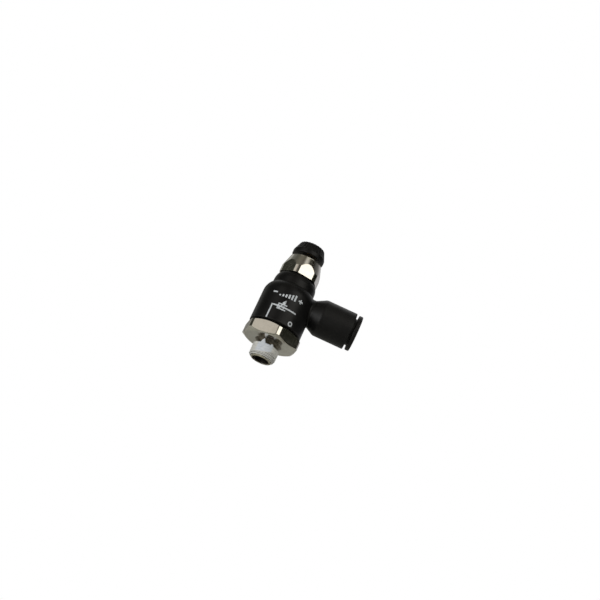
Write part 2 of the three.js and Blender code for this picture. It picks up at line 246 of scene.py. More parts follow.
class Shader:
    """A principled material with short calls for its node tree."""

    def __init__(self, name, **sockets):
        self.material = bpy.data.materials.new(name)
        self.material.use_nodes = True
        self.nodes = self.material.node_tree.nodes
        self.surface = self.nodes["Principled BSDF"]
        for socket, value in sockets.items():
            self.surface.inputs[socket.replace("_", " ")].default_value = value
        self.place = self.nodes.new("ShaderNodeTexCoord").outputs["Object"]

    def join(self, source, target):
        self.material.node_tree.links.new(source, target)

    def feed(self, socket, source):
        self.join(source, self.surface.inputs[socket])

    def math(self, operation, *values):
        node = self.nodes.new("ShaderNodeMath")
        node.operation = operation
        for slot, value in zip(node.inputs, values):
            if isinstance(value, (int, float)):
                slot.default_value = value
            else:
                self.join(value, slot)
        return node.outputs[0]

    def stretched(self, x, y, z):
        """The position in space, scaled along each axis."""
        node = self.nodes.new("ShaderNodeMapping")
        node.inputs["Scale"].default_value = (x, y, z)
        self.join(self.place, node.inputs["Vector"])
        return node.outputs[0]

    def lathe_lines(self, radial, upright):
        """Radius and height as a place, so that a texture on it runs in rings."""
        split = self.nodes.new("ShaderNodeSeparateXYZ")
        self.join(self.place, split.inputs[0])
        x, y, z = split.outputs
        squares = self.math("ADD", self.math("MULTIPLY", x, x), self.math("MULTIPLY", y, y))
        radius = self.math("SQRT", squares)
        both = self.nodes.new("ShaderNodeCombineXYZ")
        self.join(self.math("MULTIPLY", radius, radial), both.inputs[0])
        self.join(self.math("MULTIPLY", z, upright), both.inputs[1])
        return both.outputs[0]

    def noise(self, place, scale, detail=3, roughness=0.5):
        node = self.nodes.new("ShaderNodeTexNoise")
        node.inputs["Scale"].default_value = scale
        node.inputs["Detail"].default_value = detail
        node.inputs["Roughness"].default_value = roughness
        self.join(place, node.inputs["Vector"])
        return node.outputs["Fac"]

    def remap(self, source, low, high, to_low, to_high):
        node = self.nodes.new("ShaderNodeMapRange")
        for slot, value in zip(node.inputs[1:5], (low, high, to_low, to_high)):
            slot.default_value = value
        self.join(source, node.inputs[0])
        return node.outputs[0]

    def mix(self, share, first, second):
        """A colour between two, each a colour or another node's output."""
        node = self.nodes.new("ShaderNodeMix")
        node.data_type = "RGBA"
        self.join(share, node.inputs["Factor"])
        for slot, value in zip((node.inputs[6], node.inputs[7]), (first, second)):
            if isinstance(value, tuple):
                slot.default_value = (*value, 1)
            else:
                self.join(value, slot)
        return node.outputs[2]

    def attribute(self, name):
        node = self.nodes.new("ShaderNodeAttribute")
        node.attribute_name = name
        return node.outputs["Fac"]

    def bump(self, height, distance, strength, under=None):
        """Relief of a real depth in metres, on top of another relief if there is one."""
        node = self.nodes.new("ShaderNodeBump")
        node.inputs["Distance"].default_value = distance
        node.inputs["Strength"].default_value = strength
        self.join(height, node.inputs["Height"])
        if under:
            self.join(under, node.inputs["Normal"])
        self.join(node.outputs[0], self.surface.inputs["Normal"])
        return node.outputs[0]


def turned_metal(name, colour, dull, roughness):
    """Plated or bare metal with the rings that turning leaves, and stains that dull it."""
    s = Shader(name, Metallic=1.0)
    stains = s.noise(s.place, 260, 4, 0.6)
    rings = s.noise(s.lathe_lines(1, 1), 9000, 2)
    s.feed("Base Color", s.mix(s.remap(stains, 0.42, 0.72, 0, 1), colour, dull))
    both = s.math("ADD", s.remap(stains, 0.3, 0.75, roughness, roughness + 0.1),
                  s.remap(rings, 0.3, 0.7, -0.03, 0.04))
    s.feed("Roughness", both)
    wide = s.bump(s.noise(s.place, 420, 2), 0.000012, 0.35)
    s.bump(rings, 0.0000012, 0.5, wide)
    return s.material


def drawn_metal(name, colour, dull, roughness):
    """The same metal on flats, with streaks along the bar and small dents in the plating."""
    s = Shader(name, Metallic=1.0)
    streaks = s.noise(s.stretched(1, 1, 0.05), 5200, 2)
    clouds = s.noise(s.place, 330, 4, 0.6)
    s.feed("Base Color", s.mix(s.remap(clouds, 0.4, 0.7, 0, 1), colour, dull))
    both = s.math("ADD", s.remap(clouds, 0.3, 0.7, roughness, roughness + 0.09),
                  s.remap(streaks, 0.3, 0.7, -0.02, 0.04))
    s.feed("Roughness", both)
    wide = s.bump(s.noise(s.place, 300, 2), 0.00001, 0.3)
    s.bump(streaks, 0.000001, 0.5, wide)
    return s.material


def moulded_polymer():
    """Black moulded polymer: a fine eroded skin, flow clouds in the gloss and pale dust."""
    s = Shader("black_polymer", Specular_IOR_Level=0.22)
    clouds = s.noise(s.place, 190, 4, 0.55)
    grain = s.noise(s.place, 9500, 3, 0.6)
    specks = s.remap(s.noise(s.place, 3100, 2), 0.73, 0.8, 0, 0.35)
    base = s.mix(clouds, (0.0028, 0.0028, 0.0031), (0.0050, 0.0048, 0.0047))
    s.feed("Base Color", s.mix(specks, base, (0.035, 0.035, 0.035)))
    s.feed("Roughness", s.math("ADD", s.remap(clouds, 0.3, 0.7, 0.33, 0.45),
                               s.remap(grain, 0.3, 0.7, -0.04, 0.06)))
    wide = s.bump(s.noise(s.place, 360, 3), 0.00003, 0.25)
    s.bump(grain, 0.000006, 0.4, wide)
    return s.material


def chalky_sealant():
    """Dried thread sealant: chalky and slightly blue. Where it wears thin, at its lower edge and in
    the thread's valleys, it is painted near black as shade over the bare thread.
    """
    s = Shader("sealant", Roughness=0.7, Specular_IOR_Level=0.35)
    patches = s.noise(s.place, 700, 4, 0.6)
    grains = s.noise(s.place, 7000, 3, 0.6)
    cover_and_shade = s.math("ADD", s.attribute("cover_and_shade"), s.remap(grains, 0.3, 0.7, -0.08, 0.08))
    # This near-black colour is painted shade for the thread's valleys and the coat's bare lower
    # edge.
    worn_and_valley_shade = s.mix(s.remap(grains, 0.35, 0.65, 0, 1), (0.03, 0.029, 0.025), (0.09, 0.087, 0.078))
    thin = s.mix(s.remap(patches, 0.35, 0.7, 0, 1), (0.54, 0.54, 0.52), (0.64, 0.64, 0.62))
    thick = s.mix(s.remap(patches, 0.35, 0.7, 0, 1), (0.54, 0.575, 0.64), (0.62, 0.645, 0.69))
    coat = s.mix(s.remap(cover_and_shade, 0.75, 0.95, 0, 1), thin, thick)
    s.feed("Base Color", s.mix(s.remap(cover_and_shade, 0.1, 0.45, 0, 1), worn_and_valley_shade, coat))
    wide = s.bump(patches, 0.00008, 0.5)
    s.bump(grains, 0.000012, 0.6, wide)
    return s.material


def soft_rubber():
    """Black nitrile rubber: dull, with a bloom of powder on it."""
    s = Shader("rubber", Specular_IOR_Level=0.4)
    bloom = s.noise(s.place, 900, 4, 0.65)
    grain = s.noise(s.place, 12000, 2)
    s.feed("Base Color", s.mix(s.remap(bloom, 0.45, 0.75, 0, 1),
                               (0.011, 0.011, 0.011), (0.03, 0.03, 0.032)))
    s.feed("Roughness", s.remap(bloom, 0.3, 0.7, 0.52, 0.75))
    s.bump(grain, 0.000006, 0.5)
    return s.material


def acetal():
    """Milky acetal with a soft gloss and faint turning rings."""
    s = Shader("acetal", Specular_IOR_Level=0.5)
    clouds = s.noise(s.place, 500, 3)
    rings = s.noise(s.lathe_lines(1, 1), 6500, 2)
    s.feed("Base Color", s.mix(clouds, (0.70, 0.66, 0.56), (0.80, 0.77, 0.68)))
    s.feed("Roughness", s.remap(rings, 0.3, 0.7, 0.34, 0.46))
    s.bump(rings, 0.000003, 0.4)
    return s.material


def print_ink():
    """Pale pad-printed ink, thin enough that the polymer's grain shows through it."""
    s = Shader("print_ink", Specular_IOR_Level=0.4)
    grain = s.noise(s.place, 9500, 3, 0.6)
    patches = s.noise(s.place, 1500, 3)
    share = s.math("MULTIPLY", s.remap(grain, 0.3, 0.55, 0.55, 1),
                   s.remap(patches, 0.25, 0.5, 0.75, 1))
    s.feed("Base Color", s.mix(share, (0.10, 0.105, 0.115), (0.60, 0.635, 0.68)))
    s.feed("Roughness", s.remap(grain, 0.3, 0.7, 0.5, 0.62))
    s.bump(grain, 0.000006, 0.4)
    return s.material


NICKEL = turned_metal("nickel_turned", (0.71, 0.69, 0.635), (0.62, 0.595, 0.53), 0.13)
NICKEL_FLAT = drawn_metal("nickel_flats", (0.69, 0.665, 0.61), (0.62, 0.595, 0.535), 0.16)
# The neck and thread relief groove under the hex: nickel painted near black, a painted shade for
# the shadow in the groove.
NICKEL_NECK_SHADE = turned_metal("nickel_neck_painted_shade", (0.11, 0.095, 0.075), (0.30, 0.27, 0.23), 0.26)
BRASS = turned_metal("brass", (0.62, 0.47, 0.22), (0.48, 0.34, 0.15), 0.24)
STEEL = turned_metal("spring_steel", (0.60, 0.60, 0.60), (0.50, 0.49, 0.47), 0.2)
POLYMER = moulded_polymer()
SEALANT = chalky_sealant()
RUBBER = soft_rubber()
ACETAL = acetal()
INK = print_ink()


# ---- Stud ----

def pipe_thread(angle, height):
    """The radius of the taper thread, which fades out at the hex and is bevelled at its mouth."""
    pitch_line = PIPE_RADIUS + (height - THREAD_START) / PIPE_TAPER
    depth = 0.27 * (1 - smoothstep(THREAD_TOP - 0.45, THREAD_TOP + 0.05, height))
    wave = thread_wave(height / PIPE_PITCH - angle / (2 * math.pi))
    radius = pitch_line + depth * wave
    neck = 4.6 + max(height + 0.4, 0) * 1.25
    neck += (radius - neck) * (1 - smoothstep(THREAD_TOP - 0.1, THREAD_TOP + 0.1, height))
    bevel = 3.72 + (height - STUD_END) * 1.05
    return min(neck, bevel)


def hex_reach(angle):
    """How far the hex reaches at a polar angle: its bar was round, so its corners are too."""
    off = (math.degrees(angle) - HEX_TURN) % 60 - 30
    return lower_of(HEX_FLATS / 2 / math.cos(math.radians(off)), HEX_BAR, 0.05)


def stud_profile(angle):
    reach = hex_reach(angle)
    slope = math.tan(math.radians(HEX_CHAMFER))
    heights = np.arange(STUD_END + 0.07, THREAD_TOP + 0.15, 0.07)
    return outline([
        (3.05, 12.3), (3.05, STUD_END + 0.15, 0.1), (3.2, STUD_END, 0.1), (3.66, STUD_END),
        *[(pipe_thread(angle, z), z) for z in heights],
        (4.22, -1.35, 0.15), (4.22, -0.75, 0.15), (4.6, -0.4, 0.1), (5.1, 0, 0.1),
        (HEX_UNDERSIDE, 0, 0.2), (reach, (reach - HEX_UNDERSIDE) * slope, 0.07),
        (reach, HEX_TOP - (reach - HEX_TOP_FACE) * slope, 0.07),
        (HEX_TOP_FACE, HEX_TOP, 0.2), (COLLAR, HEX_TOP, 0.06),
        (COLLAR, 6.4, 0.08), (5.65, 6.4, 0.1), (5.65, 8.2, 0.1), (COLLAR, 8.2, 0.08),
        (COLLAR, COLLAR_TOP, 0.15), (STEM, COLLAR_TOP, 0.2), (STEM, 11.6, 0.06), (4.6, 11.6, 0.1),
        (4.6, 13.6, 0.1), (STEM, 13.6, 0.06), (STEM, 22.2, 0.06), (4.35, 22.2, 0.1),
        (4.35, 23.8, 0.1), (STEM, 23.8, 0.06), (STEM, 26.25, 0.15), (4.9, 26.3, 0.02),
        (4.9, STEM_TOP, 0.15), (3.45, STEM_TOP, 0.15), (3.45, 12.3),
    ])


def make_stud():
    angles = near_corners(6, HEX_TURN, 32)
    columns = [stud_profile(angle) for angle in angles]
    levels = np.array(columns[0])
    flats = {
        i for i, (radius, height) in enumerate(levels[:-1])
        if radius > HEX_FLATS / 2 and levels[i + 1][1] - height > 1
    }
    # Rows of the neck and relief groove, which take the nickel painted dark as shade.
    neck = {
        i for i, (radius, height) in enumerate(levels)
        if radius > 4 and THREAD_TOP - 0.1 < height < -0.2
    }
    obj = link("stud", skin("stud", columns, angles, True,
                            lambda k, i: 2 if i in neck else i in flats))
    for material in (NICKEL, NICKEL_FLAT, NICKEL_NECK_SHADE):
        obj.data.materials.append(material)
    for radius, height in ((1.0, 10.1), (1.5, 16.9)):
        for turn in (0, math.pi / 2):
            drill = turned("drill", [(0, -9), (radius, -9), (radius, 9), (0, 9)], 24, False)
            drill.transform(Matrix.Translation((0, 0, height * MM))
                            @ Matrix.Rotation(turn, 4, "Z") @ Matrix.Rotation(math.pi / 2, 4, "Y"))
            combined(obj, link("drill", drill), "DIFFERENCE")
    return obj


def hills(angle, table, power):
    """The sum of rounded hills round the axis: middle and half width in degrees, and height."""
    total = 0
    for middle, wide, tall in table:
        off = (math.degrees(angle) - middle + 180) % 360 - 180
        total += tall * math.exp(-abs(off / wide) ** power)
    return total


def smooth_from(angle):
    """The height above which the sealant fills the thread smooth."""
    rise = hills(angle, ((-48, 32, 1.5), (-95, 30, 0.4), (35, 30, 0.6), (120, 34, 1.3)), 2)
    return THREAD_START + 0.25 + rise + 0.12 * math.sin(5 * angle + 1)


def sealant_profile(angle):
    """The coat's outside from its lower edge to its upper edge, and back along the thread."""
    ragged = 0.08 * math.sin(3 * angle + 1) + 0.05 * math.sin(8 * angle + 2.2)
    ragged += 0.03 * math.sin(17 * angle)
    low = STUD_END + 0.32 + ragged
    tongue = hills(angle, ((-112, 8, 1.5), (-70, 6, 0.6), (52, 14, 1.1)), 3)
    high = (THREAD_TOP + 0.05 + tongue
            + 0.05 * math.sin(4 * angle + 0.6) + 0.04 * math.sin(11 * angle))
    outside = []
    for share in np.linspace(0, 1, 84):
        z = low + (high - low) * share
        bare = pipe_thread(angle, z)
        wave = thread_wave(z / PIPE_PITCH - angle / (2 * math.pi))
        crest = PIPE_RADIUS + (z - THREAD_START) / PIPE_TAPER + 0.29 + max(z + 0.6, 0) * 0.8
        full = min(crest, 3.78 + (z - STUD_END) * 1.05)
        full += (0.012 * math.sin(9 * angle + 5 * z) + 0.01 * math.sin(17 * angle - 9 * z)
                 - 0.025 * (1 - wave))
        fill = smoothstep(-0.3, 0.25, z - smooth_from(angle))
        bead = 0.13 * max(-wave, 0) ** 3 * (1 - fill)
        depth = max(0.05 + (full - bare - 0.05) * (0.15 + 0.85 * fill), 0.03) + bead
        edge = min(smoothstep(0, 0.05, share), smoothstep(0, 0.06, 1 - share))
        outside.append((bare + depth * edge + 0.004, z))
    return outside + [(pipe_thread(angle, z) - 0.03, z) for _, z in reversed(outside)]


def make_sealant():
    """The coat, and for its colour how thick it lies at each point: 0 thin and bare, 1 full. Low
    values in the thread's valleys paint shade between the crests.
    """
    angles = even(200)
    mesh = skin("thread_sealant", [sealant_profile(angle) for angle in angles], angles, True)
    cover_and_shade = mesh.attributes.new("cover_and_shade", "FLOAT", "POINT")
    for point, value in zip(mesh.vertices, cover_and_shade.data):
        x, y, z = np.array(point.co) / MM
        angle = math.atan2(y, x)
        above = z - smooth_from(angle)
        ridge = abs(thread_wave(z / PIPE_PITCH - angle / (2 * math.pi)))
        thick = smoothstep(-0.3, 0.25, above) * smoothstep(50, 30, abs(math.degrees(angle) + 98))
        # Valleys get much less cover than crests: painted shade between the crests, on top of the
        # coat wearing thin there.
        thin = 0.02 + 0.85 * ridge + (0.7 - 0.85 * ridge) * smoothstep(-0.3, 0.6, above)
        value.value = max(float(thick), thin) * smoothstep(STUD_END + 0.2, STUD_END + 0.55, z)
    return mesh


# ---- Bonnet, needle and knob ----

def bonnet_outside(height):
    """The turned outside radius of the bonnet at a height."""
    return float(np.interp(height, [BONNET_BOTTOM, BONNET_CONE, BONNET_TOP],
                           [BONNET, BONNET, BONNET_TOP_RADIUS]))


def make_bonnet():
    angles = near_corners(6, BONNET_TURN + 30, 48)
    heights = np.linspace(BONNET_BOTTOM + 0.2, BONNET_TOP - 0.25, 84)
    bottom, top = BONNET_BOTTOM, BONNET_TOP
    columns, flat_rows = [], {}
    for k, angle in enumerate(angles):
        off = (math.degrees(angle) - BONNET_TURN + 30) % 60 - 30
        flat = BONNET_FLATS / 2 / math.cos(math.radians(off))
        wall = [lower_of(bonnet_outside(z), flat, 0.07) for z in heights]
        for i, z in enumerate(heights):
            if flat < bonnet_outside(z):
                flat_rows[k, i + 12] = True
        columns.append(outline([
            (5.0, bottom, 0.08), (wall[0], bottom, 0.03),
            *[(radius, z) for radius, z in zip(wall, heights)],
            (wall[-1] - 0.02, top, 0.24), (3.1, top, 0.12), (3.1, 29.4), (5.0, 29.4),
        ]))
    return skin("bonnet", columns, angles, True, lambda k, i: (k, i) in flat_rows)


def make_needle():
    angles = even(72)
    heights = np.arange(24.8, 34.9, 0.07)
    columns = []
    for angle in angles:
        threads = []
        for z in heights:
            fade = smoothstep(24.8, 25.4, z) * (1 - smoothstep(34.5, 34.9, z))
            wave = thread_wave(z / NEEDLE_PITCH - angle / (2 * math.pi))
            threads.append((2.8 + 0.2 * wave * fade, z))
        columns.append(outline([
            (0, NEEDLE_TIP), (0.45, NEEDLE_TIP, 0.12), (1.55, 13.6), (2.1, 14.3, 0.3),
            (2.1, 19.4, 0.4), (3.3, 20.4, 0.2), (3.3, 21.8, 0.08), (2.25, 21.8, 0.1),
            (2.25, 23.2, 0.1), (3.3, 23.2, 0.08), (3.3, 24.75, 0.1), *threads,
            (2.0, 35.0, 0.06), (2.0, NEEDLE_TOP, 0.15), (0, NEEDLE_TOP),
        ]))
    return skin("needle", columns, angles, False)


def make_knob():
    angles = even(240)
    straight = KNOB_STRAIGHT_TOP
    heights = np.linspace(straight + 0.05, KNOB_TOP - 0.45, 24)
    columns = []
    for angle in angles:
        flute = 0.5 + 0.5 * math.cos(24 * angle)
        wall = []
        for z in heights:
            cone = np.interp(z, [straight, KNOB_TOP], [KNOB, KNOB_TOP_RADIUS])
            start = smoothstep(straight + 0.25, straight + 0.8, z)
            wall.append((cone - 0.16 * start * flute ** 2, z))
        columns.append(outline([
            (0, 38.4), (2.1, 38.4), (2.1, KNOB_BOTTOM), (KNOB - 0.02, KNOB_BOTTOM, 0.3),
            (KNOB, straight - 0.1, 0.3), *wall,
            (wall[-1][0] - 0.12, KNOB_TOP - 0.02, 0.4), (3.6, KNOB_TOP, 0.1), (0, KNOB_TOP),
        ]))
    obj = link("knob", skin("knob", columns, angles, False))
    # the screwdriver slot: a bar with rounded ends, cut 1 mm deep
    bar = [Vector((side * 2.7 + 0.5 * math.cos(turn), 0.5 * math.sin(turn)))
           for side, first in ((1, -90), (-1, 90))
           for turn in np.radians(np.arange(first, first + 181, 20))]
    work = bmesh.new()
    rings = [[work.verts.new((p.x * MM, p.y * MM, z * MM)) for p in bar]
             for z in (KNOB_TOP - 1, KNOB_TOP + 1)]
    work.faces.new(rings[0][::-1])
    work.faces.new(rings[1])
    for i, a in enumerate(rings[0]):
        j = (i + 1) % len(bar)
        work.faces.new((a, rings[0][j], rings[1][j], rings[1][i]))
    mesh = bpy.data.meshes.new("slot_tool")
    work.to_mesh(mesh)
    work.free()
    combined(obj, link("slot_tool", tidy(mesh)), "DIFFERENCE")
    return obj


# ---- Body ----

def shoulder():
    """The rounded shoulder between barrel and neck, the same stretch of ellipse as the CAD's."""
    full = 1 - math.sqrt(1 - SHOULDER_REACH ** 2)
    points = []
    for share in np.linspace(0, 1, 26)[1:]:
        drop = (1 - math.sqrt(1 - (share * SHOULDER_REACH) ** 2)) / full
        points.append((BODY - (BODY - NECK) * drop,
                       SHOULDER_START + (SHOULDER_END - SHOULDER_START) * share))
    return points


def barrel_radius(height):
    radii, heights = zip((BODY, 0), (BODY, SHOULDER_START), *shoulder(), (7.8, BODY_TOP))
    return np.interp(height, heights, radii)


def branch_radius(along):
    """The branch's outside, with its neck, cone and barrel eased into each other."""
    total = 0
    for shift in (-0.45, -0.3, -0.15, 0, 0.15, 0.3, 0.45):
        total += np.interp(along + shift, [9.3, 12.9], [BRANCH_NECK, BRANCH])
    return float(total / 7)


def branch_profile(angle):
    """One line along the branch, in its own axes: it flares out onto the barrel at its foot."""
    def foot(radius):
        height = BRANCH_HEIGHT - radius * math.cos(angle)
        return math.sqrt(barrel_radius(height) ** 2 - (radius * math.sin(angle)) ** 2)

    fillet = 0.45
    start = foot(BRANCH_NECK) + fillet
    for _ in range(6):
        start = foot(branch_radius(start)) + fillet
    wall = branch_radius(start)
    points = [(0, 7.0), (4.6, 7.0), (wall + fillet + 0.06, foot(wall + fillet + 0.06) - 0.03)]
    for turn in np.radians(np.linspace(90, 0, 9)):
        radius = wall + fillet * (1 - math.cos(turn))
        points.append((radius, foot(radius) + fillet * (1 - math.sin(turn))))
    for share in np.linspace(0, 1, 32)[1:]:
        along = start + (14.2 - start) * share
        points.append((branch_radius(along), along))
    points += outline([(BRANCH, 14.4), (BRANCH, BRANCH_END, 0.3), (0, BRANCH_END)])[1:]
    return points


def make_body():
    obj = link("body", turned("body", [
        (0, BODY_BOTTOM), (BODY, BODY_BOTTOM, 0.28), (BODY, SHOULDER_START), *shoulder(),
        (7.8, 23.9, 2.5), (7.52, 25, 1.6), (7.1, 25.8, 1.2), (6.75, BODY_TOP, 0.2), (0, BODY_TOP),
    ], 192, False))
    angles = even(144)
    branch = skin("branch", [branch_profile(angle) for angle in angles], angles, False)
    branch.transform(along_branch())
    combined(obj, link("branch", branch), "UNION")
    stem_space = turned("stem_space", [
        (0, 5), (7.3, 5), (7.3, BODY_BOTTOM + 0.02), (7.05, BODY_BOTTOM + 0.35),
        (7.05, COLLAR_TOP), (7.4, 9.4), (7.4, 19.8), (5.5, 20.8),
        (5.5, BODY_TOP - 0.3), (5.8, BODY_TOP + 0.02), (5.8, 28), (0, 28),
    ], 96, False)
    combined(obj, link("stem_space", stem_space), "DIFFERENCE")
    branch_space = turned("branch_space", [
        (0, 5), (3.1, 5), (3.1, 10.1, 0.1), (4.1, 10.1), (4.1, 13.3), (5.9, 13.3),
        (5.9, BRANCH_END - 0.25), (6.12, BRANCH_END + 0.02), (6.12, 26), (0, 26),
    ], 96, False)
    branch_space.transform(along_branch())
    combined(obj, link("branch_space", branch_space), "DIFFERENCE")
    return obj


# ---- Print on the barrel ----

# Each stroke is a width and a line of points: sideways as seen from the front, and height.
SYMBOL = (
    (0.52, ((-4.5, BODY_BOTTOM + 0.25), (-4.5, 11.0), (4.5, 11.0))),
    (0.42, ((-2.6, 11.95), (0.65, 11.95))),
    (0.42, ((-2.6, 10.1), (0.65, 10.1))),
    (0.48, ((-2.0, 9.9), (-0.5, 13.2))),
    (0.46, ((-1.2, 12.45), (-0.46, 13.4), (-0.4, 12.1))),
    (0.5, ((-2.6, 11.55), (-1.9, 11.0), (-2.6, 10.45))),
    (0.45, ((-0.3, 11.5), (-0.3, 10.5))),
)
FLOW_MARK = (
    (0.55, ((-5.9, 15.9), (-4.5, 15.9))),
    *[(0.62, ((x, 14.85), (x, 14.85 + 0.5 + 0.36 * i)))
      for i, x in enumerate((-3.3, -2.2, -1.1, 0.0, 1.1, 2.2))],
    (0.55, ((3.5, 15.9), (5.1, 15.9))),
    (0.55, ((4.3, 15.1), (4.3, 16.7))),
)
PORT_RING = (0.42, tuple((4.1 + 0.62 * math.cos(t), 6.75 + 0.72 * math.sin(t))
                         for t in np.linspace(0, 2 * math.pi, 25)))


def stroke(work, width, line, level):
    """A flat band along a line, wrapped on the barrel as a thin closed slab."""
    fine = []
    for a, b in zip(line, line[1:]):
        steps = max(2, int(math.dist(a, b) / 0.12))
        fine += [(a[0] + (b[0] - a[0]) * i / steps, a[1] + (b[1] - a[1]) * i / steps)
                 for i in range(steps)]
    fine.append(line[-1])
    flat = [Vector((BODY * math.asin(x / BODY), z)) for x, z in fine]
    loop = (flat[0] - flat[-1]).length < 1e-6
    rings = []
    for i, here in enumerate(flat):
        before = here - flat[i - 1] if i else (flat[-1] - flat[-2] if loop else None)
        after = flat[i + 1] - here if i + 1 < len(flat) else (flat[1] - flat[0] if loop else None)
        ways = [way.normalized() for way in (before, after) if way is not None]
        along = sum(ways, Vector((0, 0))).normalized()
        side = Vector((-along.y, along.x))
        mitre = max(side.dot(Vector((-ways[0].y, ways[0].x))), 0.5)
        ring = []
        for sign, lift in ((-1, -0.02), (1, -0.02), (1, level), (-1, level)):
            p = here + side * (sign * width / 2 / mitre)
            radius = (BODY + lift) * MM
            turn = p.x / BODY
            spot = (radius * math.sin(turn), -radius * math.cos(turn), p.y * MM)
            ring.append(work.verts.new(spot))
        rings.append(ring)
    for a, b in zip(rings, rings[1:]):
        for i in range(4):
            j = (i + 1) % 4
            work.faces.new((a[i], a[j], b[j], b[i]))
    if not loop:
        work.faces.new(rings[0][::-1])
        work.faces.new(rings[-1])


def make_print(name, strokes):
    work = bmesh.new()
    for i, (width, line) in enumerate(strokes):
        stroke(work, width, line, 0.008 + 0.0008 * i)
    mesh = bpy.data.meshes.new(name)
    work.to_mesh(mesh)
    work.free()
    return place(name, tidy(mesh), "swivel_body", None, None, [INK], sharp=60)


# ---- Seals and push-in pieces ----

def o_ring(node):
    """A moulded O-ring with the fine flash of its parting line."""
    low, high = (Vector(corner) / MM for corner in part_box(node))
    outer = (high[1] - low[1]) / 2
    cord = (high[2] - low[2]) / 2
    middle = (high[2] + low[2]) / 2
    points = []
    for turn in np.radians(np.arange(0, 360, 15)):
        flash = 1 + 0.04 * max(0, abs(math.cos(turn)) - 0.97) / 0.03
        points.append((outer - cord + cord * math.cos(turn) * (flash - 0.04),
                       middle + cord * math.sin(turn)))
    return skin(node, [points] * 96, even(96), True)


def make_check_seal():
    return turned("check_seal", [
        (4.7, 11.7, 0.15), (5.45, 11.7, 0.1), (5.75, 12.45, 0.25), (6.9, 11.15, 0.12),
        (7.28, 11.15, 0.14), (6.51, 13.12, 0.4), (6.13, 13.5, 0.2), (4.7, 13.5, 0.15),
    ])


def make_tube_seal():
    return turned("tube_seal", [
        (3.85, 13.6, 0.1), (4.25, 13.5, 0.15), (4.75, 15, 0.15), (5.05, 15, 0.15),
        (5.38, 13.5, 0.15), (CASSETTE, 13.5, 0.15), (CASSETTE, 16.3, 0.15), (4.35, 16.3, 0.2),
        (4.2, 15.3, 0.6),
    ])


def make_chuck():
    obj = link("chuck", turned("chuck", [
        (3.86, 17.45, 0.03), (4.0, 17.31, 0.03), (CASSETTE, 18.5, 0.08), (CASSETTE, 18.95, 0.08),
        (5.45, 18.95, 0.08),
    ], 144))
    for i in range(6):
        work = bmesh.new()
        bmesh.ops.create_cube(work, size=1)
        mesh = bpy.data.meshes.new("slit")
        work.to_mesh(mesh)
        work.free()
        mesh.transform(Matrix.Rotation(i * math.pi / 6, 4, "Z")
                       @ Matrix.Translation((0, 0, 17.45 * MM))
                       @ Matrix.Diagonal((10.2 * MM, 0.45 * MM, 4 * MM, 1)))
        combined(obj, link("slit", mesh), "DIFFERENCE")
    return obj


def make_release_button():
    return turned("release_button", [
        (4.1, BUTTON_START, 0.1), (4.7, BUTTON_START, 0.15), (4.7, 19.9, 0.1), (5.28, 20.1, 0.1),
        (5.28, 20.8, 0.1), (5.05, 21, 0.1), (5.05, 25.5, 0.15), (BUTTON, 25.5, 0.28),
        (BUTTON, BUTTON_FACE, 0.35), (4.6, BUTTON_FACE, 0.35), (4.1, BUTTON_FACE - 0.55, 0.4),
    ], 144)


# ---- Everything in place ----

place("stud", make_stud(), "stud_assembly", "stud", "nickel_plate",
      [NICKEL, NICKEL_FLAT, NICKEL_NECK_SHADE], sharp=28)
place("thread_sealant", make_sealant(), "stud_assembly", "thread_sealant", "sealant",
      [SEALANT], sharp=70)
place("bonnet", make_bonnet(), "stud_assembly", "bonnet", "nickel_plate",
      [NICKEL, NICKEL_FLAT], sharp=40)
place("seat_ring", turned("seat_ring", [
    (1.7, 12.4, 0.05), (3.35, 12.4, 0.12), (3.35, 14.3, 0.12), (2.3, 14.3, 0.08), (1.7, 13.6, 0.08),
]), "stud_assembly", "seat_ring", "brass", [BRASS])
place("stem_lower_o_ring", o_ring("stem_lower_o_ring"), "stud_assembly",
      "stem_lower_o_ring", "rubber", [RUBBER])
place("stem_upper_o_ring", o_ring("stem_upper_o_ring"), "stud_assembly",
      "stem_upper_o_ring", "rubber", [RUBBER])
place("check_seal", make_check_seal(), "stud_assembly", "check_seal", "rubber", [RUBBER])

place("needle_o_ring", o_ring("needle_o_ring"), "needle_carrier",
      "needle_o_ring", "rubber", [RUBBER])
place("needle", make_needle(), "knob_and_needle", "needle", "brass", [BRASS])
place("knob", make_knob(), "knob_and_needle", "knob", "black_polymer", [POLYMER])

place("body", make_body(), "swivel_body", "body", "black_polymer", [POLYMER], sharp=30)
place("tube_seal", make_tube_seal(), "swivel_body", "tube_seal", "rubber", [RUBBER], lying=True)
place("seal_spacer", turned("seal_spacer", [
    (4.3, 16.45, 0.08), (CASSETTE, 16.45, 0.08), (CASSETTE, 17.1, 0.08), (4.3, 17.1, 0.12),
]), "swivel_body", "seal_spacer", "acetal", [ACETAL], lying=True)
place("chuck", make_chuck(), "swivel_body", "chuck", "spring_steel", [STEEL], lying=True)
place("collet", turned("collet", [
    (5.4, 19.1, 0.08), (CASSETTE, 19.1, 0.1), (CASSETTE, 21, 0.1), (5.4, 21, 0.1),
]), "swivel_body", "collet", "acetal", [ACETAL], lying=True)
place("guide_ring", turned("guide_ring", [
    (5.17, 21.15, 0.05), (CASSETTE, 21.15, 0.18), (CASSETTE, 24.3, 0.12), (5.17, 24.3, 0.2),
]), "swivel_body", "guide_ring", "nickel_plate", [NICKEL], lying=True)
make_print("flow_symbol", SYMBOL)
make_print("flow_mark", FLOW_MARK)
make_print("port_ring", (PORT_RING,))

place("release_button", make_release_button(), "release_button", "release_button",
      "black_polymer", [POLYMER], lying=True)


# ---- Stage, light and camera ----

